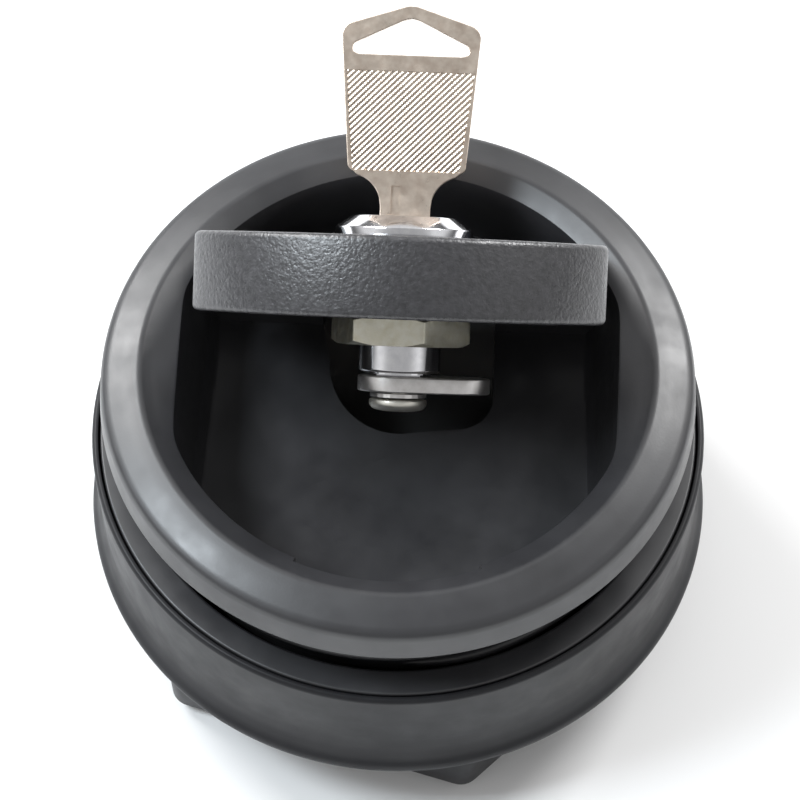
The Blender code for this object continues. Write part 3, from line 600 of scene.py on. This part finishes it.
for index in range(CUP_SCREWS):
    angle = 2 * math.pi * (index + 0.5) / CUP_SCREWS + CUP_SCREW_TURN
    at = Matrix.Translation((CUP_SCREW_R * MM * math.cos(angle), CUP_SCREW_R * MM * math.sin(angle), 0))
    ends = [(CUP_BORE_R, SKIRT_Z - 1), (CUP_BORE_R, SKIRT_Z + 6.4)]
    boolean(body, lathe("screw_bore", ends, TO_CAP @ at, 24, closed=False))

for index in range(CAP_STARTS):
    start_at = 2 * math.pi * index / CAP_STARTS
    ridge = helix_skin(f"cap_ridge_{index}", NECK_R + 0.4, CAP_BEAD, CAP_LEAD, start_at, 0.5, CAP_RIDGE_Z,
                       TO_CAP)
    joined(body, smooth(ridge, 60))
smooth(body, 32)
wear(body, BLACK, "cap", "cap_body")


# ---------------------------------------------------------------- handle

half = HANDLE_T / 2
quarter = SIDES // 4
full = flat_sided(HANDLE_R, HANDLE_W)
full = [(x + HANDLE_SHIFT, y - HINGE_Y) for x, y in full[quarter:] + full[:quarter]]
paddle_outline = [point for point in full if point[1] < SHOULDER_Y - 1.5]
left_x, right_x = paddle_outline[0][0], paddle_outline[-1][0]
paddle_outline += [(right_x, SHOULDER_Y), (KNUCKLE_W, SHOULDER_Y), (KNUCKLE_W, 0.0)]
paddle_outline += [(-KNUCKLE_W, 0.0), (-KNUCKLE_W, SHOULDER_Y), (left_x, SHOULDER_Y)]
paddle = flat_slab("handle_skin", paddle_outline, -half, half, TO_HANDLE)
bevel(paddle, 0.9, 50, 4)
knuckle_profile = eased([(0.01, -KNUCKLE_W), (half, -KNUCKLE_W), (half, KNUCKLE_W), (0.01, KNUCKLE_W)], 0.6,
                        closed=False)
lie = Matrix.Rotation(math.pi / 2, 4, "Y")
knuckle = lathe("knuckle", knuckle_profile, TO_HANDLE @ lie, 96, closed=False)
boolean(paddle, knuckle, "UNION")
boolean(paddle, lathe("lock_bore", [(LOCK_BORE_R, -9), (LOCK_BORE_R, 9)], TO_LOCK, 96, closed=False))
recess = [(WASHER_RECESS_R, -9), (WASHER_RECESS_R, WASHER_DEPTH - half)]
boolean(paddle, lathe("washer_recess", recess, TO_LOCK, 96, closed=False))
pin_hole = lathe("pin_hole", [(PIN_BORE_R, -40), (PIN_BORE_R, 40)], TO_HANDLE @ lie, 32, closed=False)
boolean(paddle, pin_hole)
smooth(paddle, 32)
wear(paddle, SPARKLE, "handle", "handle")


# ---------------------------------------------------------------- lock

head_low = half + 0.3
lock_body = lathe("lock_body_skin", eased([
    (5.75, 9.88), (8.5, 9.88), (11.22, 7.9), (11.25, 7.2), (11.25, head_low), (7.9, head_low), (7.9, -10.4),
    (6.72, -10.8), (6.72, -15.0), (6.45, -15.32), (5.75, -15.32),
], 0.18), TO_LOCK, 128)
smooth(lock_body, 25)
wear(lock_body, CHROME, "handle", "lock_body")

nut_r = NUT_FLATS / math.sqrt(3)
nut_high, nut_low = -half - 0.32, -10.93
nut_outline = eased(hexagon(NUT_FLATS, NUT_ANGLE), 0.35, steps=3)
lock_nut = slab("lock_nut_skin", nut_outline, nut_low, nut_high, TO_LOCK, edge=0.05)
cone = lathe("nut_cone", [
    (0.01, nut_high), (nut_r - 1.3, nut_high), (nut_r + 0.4, nut_high - 0.9), (nut_r + 0.4, nut_low + 0.9),
    (nut_r - 1.3, nut_low), (0.01, nut_low)], TO_LOCK, 128, closed=False)
boolean(lock_nut, cone, "INTERSECT")
boolean(lock_nut, lathe("nut_hole", [(LOCK_BORE_R, -14), (LOCK_BORE_R, -4)], TO_LOCK, 96, closed=False))
smooth(lock_nut, 20)
wear(lock_nut, NUT_NICKEL, "handle", "lock_nut")

cam_outline = arc_points((0, 0), CAM_HUB_R, 78, 282, 48)
cam_outline += arc_points((CAM_REACH - CAM_TIP_R, 0), CAM_TIP_R, -84, 84, 24)
cam = slab("lock_cam_skin", cam_outline, CAM_TOP - CAM_T, CAM_TOP, TO_LOCK, edge=0.3)
boolean(cam, block("cam_square", (-3.7, -3.7, -20), (3.7, 3.7, -14), TO_LOCK))
smooth(cam, 32)
wear(cam, STEEL, "lock_core", "lock_cam")

head_top = CAM_TOP - CAM_T - 1.2
screw = lathe("cam_screw_skin", eased([
    (0.01, -13.0), (1.6, -13.0), (1.88, -13.4), (1.88, head_top), (4.7, head_top), (4.73, head_top - 1.0),
    (4.1, head_top - 1.7), (2.6, head_top - 2.0), (0.01, head_top - 2.1)], 0.4, closed=False), TO_LOCK, 64,
    closed=False)
for wide, deep in ((2.6, 0.4), (0.4, 2.6)):
    boolean(screw, block("cross", (-wide, -deep, head_top - 3), (wide, deep, head_top - 1.0), TO_LOCK))
smooth(screw, 32)
wear(screw, SCREW_NICKEL, "lock_core", "cam_screw")


# ---------------------------------------------------------------- key

key_right = [(BLADE_W - 1.6, KEY_TIP), (BLADE_W, KEY_TIP + 1.6)]
for index in range(4):
    bit_z = KEY_TIP + 3.6 + 2.8 * index
    depth = (0.7, 0.3, 0.9, 0.5)[index]
    key_right += [(BLADE_W, bit_z - 0.9), (BLADE_W - depth, bit_z), (BLADE_W, bit_z + 0.9)]
key_right += [(BLADE_W, 11.4)]
key_right += arc_points((BLADE_W + 5.2, 11.4), 5.2, 165, 105, 10)
key_right += arc_points((9.6 - 1.2, 18.2), 1.2, -75, 0, 6)
key_right += arc_points((11.25 - 2.2, 38.8), 2.2, 0, 72, 10)
key_right += arc_points((0, 39.8), 4.0, 72, 90, 4)
key_outline = key_right + [(-x, z) for x, z in reversed(key_right[:-1])]
stand = Matrix.Rotation(math.pi / 2, 4, "X")
key = flat_slab("key_skin", key_outline, -KEY_HALF_T, KEY_HALF_T, TO_LOCK @ stand)
hole = [(-8.6, 35.9), (8.6, 35.9), (9.5, 36.5), (9.3, 37.6), (1.2, 41.5), (0, 41.8), (-1.2, 41.5),
        (-9.3, 37.6), (-9.5, 36.5)]
boolean(key, flat_slab("key_hole", eased(hole, 0.5), -3, 3, TO_LOCK @ stand))
bevel(key, 0.15, 50, 2)
boolean(key, block("key_groove", (-2.35, -2, KEY_TIP - 1), (-0.85, -0.55, 14.85), TO_LOCK))

# Knurled panels on both faces: rows of small beads in a shallow recess
PANEL_LOW, PANEL_HIGH = (17.2, -8.9, 8.6), (33.3, -10.35, 10.45)
PANEL_DEPTH = 0.22
ROW_PITCH, BEAD_PITCH = 0.70, 0.56


def panel_outline(inset=0.0):
    (low, left_low, right_low), (high, left_high, right_high) = PANEL_LOW, PANEL_HIGH
    return [(left_low + inset, low + inset), (right_low - inset, low + inset),
            (right_high - inset, high - inset), (left_high + inset, high - inset)]


def knurl(name, side, columns=128, rows=100):
    """A closed pad whose face carries the beads; it lies in the panel's recess."""
    corners = [Vector(point) for point in panel_outline(0.02)]
    bm = bmesh.new()
    grid = []
    for j in range(rows + 1):
        start = corners[0].lerp(corners[3], j / rows)
        end = corners[1].lerp(corners[2], j / rows)
        line = []
        for i in range(columns + 1):
            x, z = start.lerp(end, i / columns)
            ridge = 0.5 - 0.5 * math.cos(2 * math.pi * (z - x) / math.sqrt(2) / ROW_PITCH)
            bead = 0.5 - 0.5 * math.cos(2 * math.pi * (z + x) / math.sqrt(2) / BEAD_PITCH)
            height = KEY_HALF_T - PANEL_DEPTH * (1 - ridge * (0.5 + 0.5 * bead))
            line.append(bm.verts.new((x * MM, side * height * MM, z * MM)))
        grid.append(line)
    for lower, upper in zip(grid, grid[1:]):
        for i in range(columns):
            bm.faces.new((lower[i], lower[i + 1], upper[i + 1], upper[i]))
    rim = grid[0] + [line[-1] for line in grid[1:-1]] + grid[-1][::-1] + [line[0] for line in grid[-2:0:-1]]
    back = [bm.verts.new((v.co.x, side * 0.70 * MM, v.co.z)) for v in rim]
    for i in range(len(rim)):
        j = (i + 1) % len(rim)
        bm.faces.new((rim[i], rim[j], back[j], back[i]))
    bm.faces.new(back)
    return to_object(name, bm, TO_LOCK)


for side in (-1, 1):
    low, high = sorted((-side * 2, -side * (KEY_HALF_T - PANEL_DEPTH)))
    boolean(key, flat_slab("panel_recess", panel_outline(), low, high, TO_LOCK @ stand))
smooth(key, 4)
for side in (-1, 1):
    joined(key, smooth(knurl(f"knurl_{side}", side), 60))
wear(key, NICKEL, "key", "key")


# ---------------------------------------------------------------- solids shown as they are

def paint(node, material):
    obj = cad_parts[node]
    obj.data.materials.clear()
    obj.data.materials.append(material)


paint("cap_cup", HIDDEN_BLACK)
paint("cup_gasket", RUBBER)
for node in ("slip_ring", "friction_washer_1", "friction_washer_2"):
    paint(node, NYLON)
for node in ("hinge_pin", "lock_washer", "cam_washer"):
    paint(node, STEEL)
for number in range(1, 7):
    paint(f"cup_screw_{number}", STEEL)
for number in range(1, 6):
    paint(f"wafer_{number}", BRASS)
paint("lock_plug", CHROME)


# ---------------------------------------------------------------- floor, light, camera

def stage_material(name, color, rough):
    s = Shader(name)
    shade = tuple(c * 0.985 for c in color)
    s.feed("Base Color", s.color_between(s.spread(s.noise(6, 3), 0, 1), color, shade))
    s.set(Roughness=rough, Specular_IOR_Level=0.1)
    return s.material


bm = bmesh.new()
bmesh.ops.create_grid(bm, x_segments=2, y_segments=2, size=1.2)
floor = to_object("floor", bm, TO_ROW)
floor.location.z = -0.0002
floor.data.materials.append(stage_material("floor_white", (0.86, 0.86, 0.86), 0.9))

world = bpy.data.worlds.new("studio")
bpy.context.scene.world = world
world.use_nodes = True
background = world.node_tree.nodes["Background"]
background.inputs["Strength"].default_value = 1.0

# The room is bright above, dark along the horizon, and dimmer on the side that the camera looks from.
DIM_TOWARDS = Vector((0.0, -0.58, 0.81))


def world_node(kind, **settings):
    node = world.node_tree.nodes.new(kind)
    for key, value in settings.items():
        setattr(node, key, value)
    return node


def world_ramp(source, from_low, from_high, low, high):
    node = world_node("ShaderNodeMapRange", interpolation_type="SMOOTHSTEP")
    node.inputs["From Min"].default_value = from_low
    node.inputs["From Max"].default_value = from_high
    node.inputs["To Min"].default_value = low
    node.inputs["To Max"].default_value = high
    world.node_tree.links.new(source, node.inputs["Value"])
    return node.outputs["Result"]


direction = world_node("ShaderNodeTexCoord").outputs["Generated"]
facing = world_node("ShaderNodeVectorMath", operation="DOT_PRODUCT")
facing.inputs[1].default_value = DIM_TOWARDS
world.node_tree.links.new(direction, facing.inputs[0])
height = world_node("ShaderNodeSeparateXYZ")
world.node_tree.links.new(direction, height.inputs[0])
level = world_node("ShaderNodeMath", operation="MINIMUM")
world.node_tree.links.new(world_ramp(facing.outputs["Value"], 0.55, 0.95, 0.80, 0.42), level.inputs[0])
world.node_tree.links.new(world_ramp(height.outputs["Z"], 0.0, 0.40, 0.15, 0.80), level.inputs[1])
world.node_tree.links.new(level.outputs["Value"], background.inputs["Color"])



def lamp(name, location, target, size, energy, size_y=None):
    data = bpy.data.lights.new(name, "AREA")
    data.energy = energy
    data.size = size
    if size_y:
        data.shape = "RECTANGLE"
        data.size_y = size_y
    obj = bpy.data.objects.new(name, data)
    bpy.context.scene.collection.objects.link(obj)
    obj.location = location
    obj.rotation_mode = "QUATERNION"
    obj.rotation_quaternion = (Vector(target) - Vector(location)).to_track_quat("-Z", "Y")
    return obj


lamp("left_light", (-0.55, 0.50, 0.62), (0, 0, 0.04), 0.35, 7.0)
lamp("right_light", (0.55, 0.50, 0.62), (0, 0, 0.04), 0.35, 7.0)
window = lamp("left_window", (-0.50, -0.02, 0.72), (0, 0, 0.04), 0.25, 5.0)
window.data.color = (0.86, 0.94, 1.0)

camera_data = bpy.data.cameras.new("camera")
camera = bpy.data.objects.new("camera", camera_data)
bpy.context.scene.collection.objects.link(camera)
camera_data.sensor_width = 36.0
camera_data.lens = 106.92
camera.location = (0.00033, -0.19584, 0.37969)
camera.rotation_euler = (math.radians(90 - 59.71), 0, 0)
camera_data.clip_start = 0.01
camera_data.clip_end = 10.0
bpy.context.scene.camera = camera
bpy.context.scene.view_settings.view_transform = "Standard"
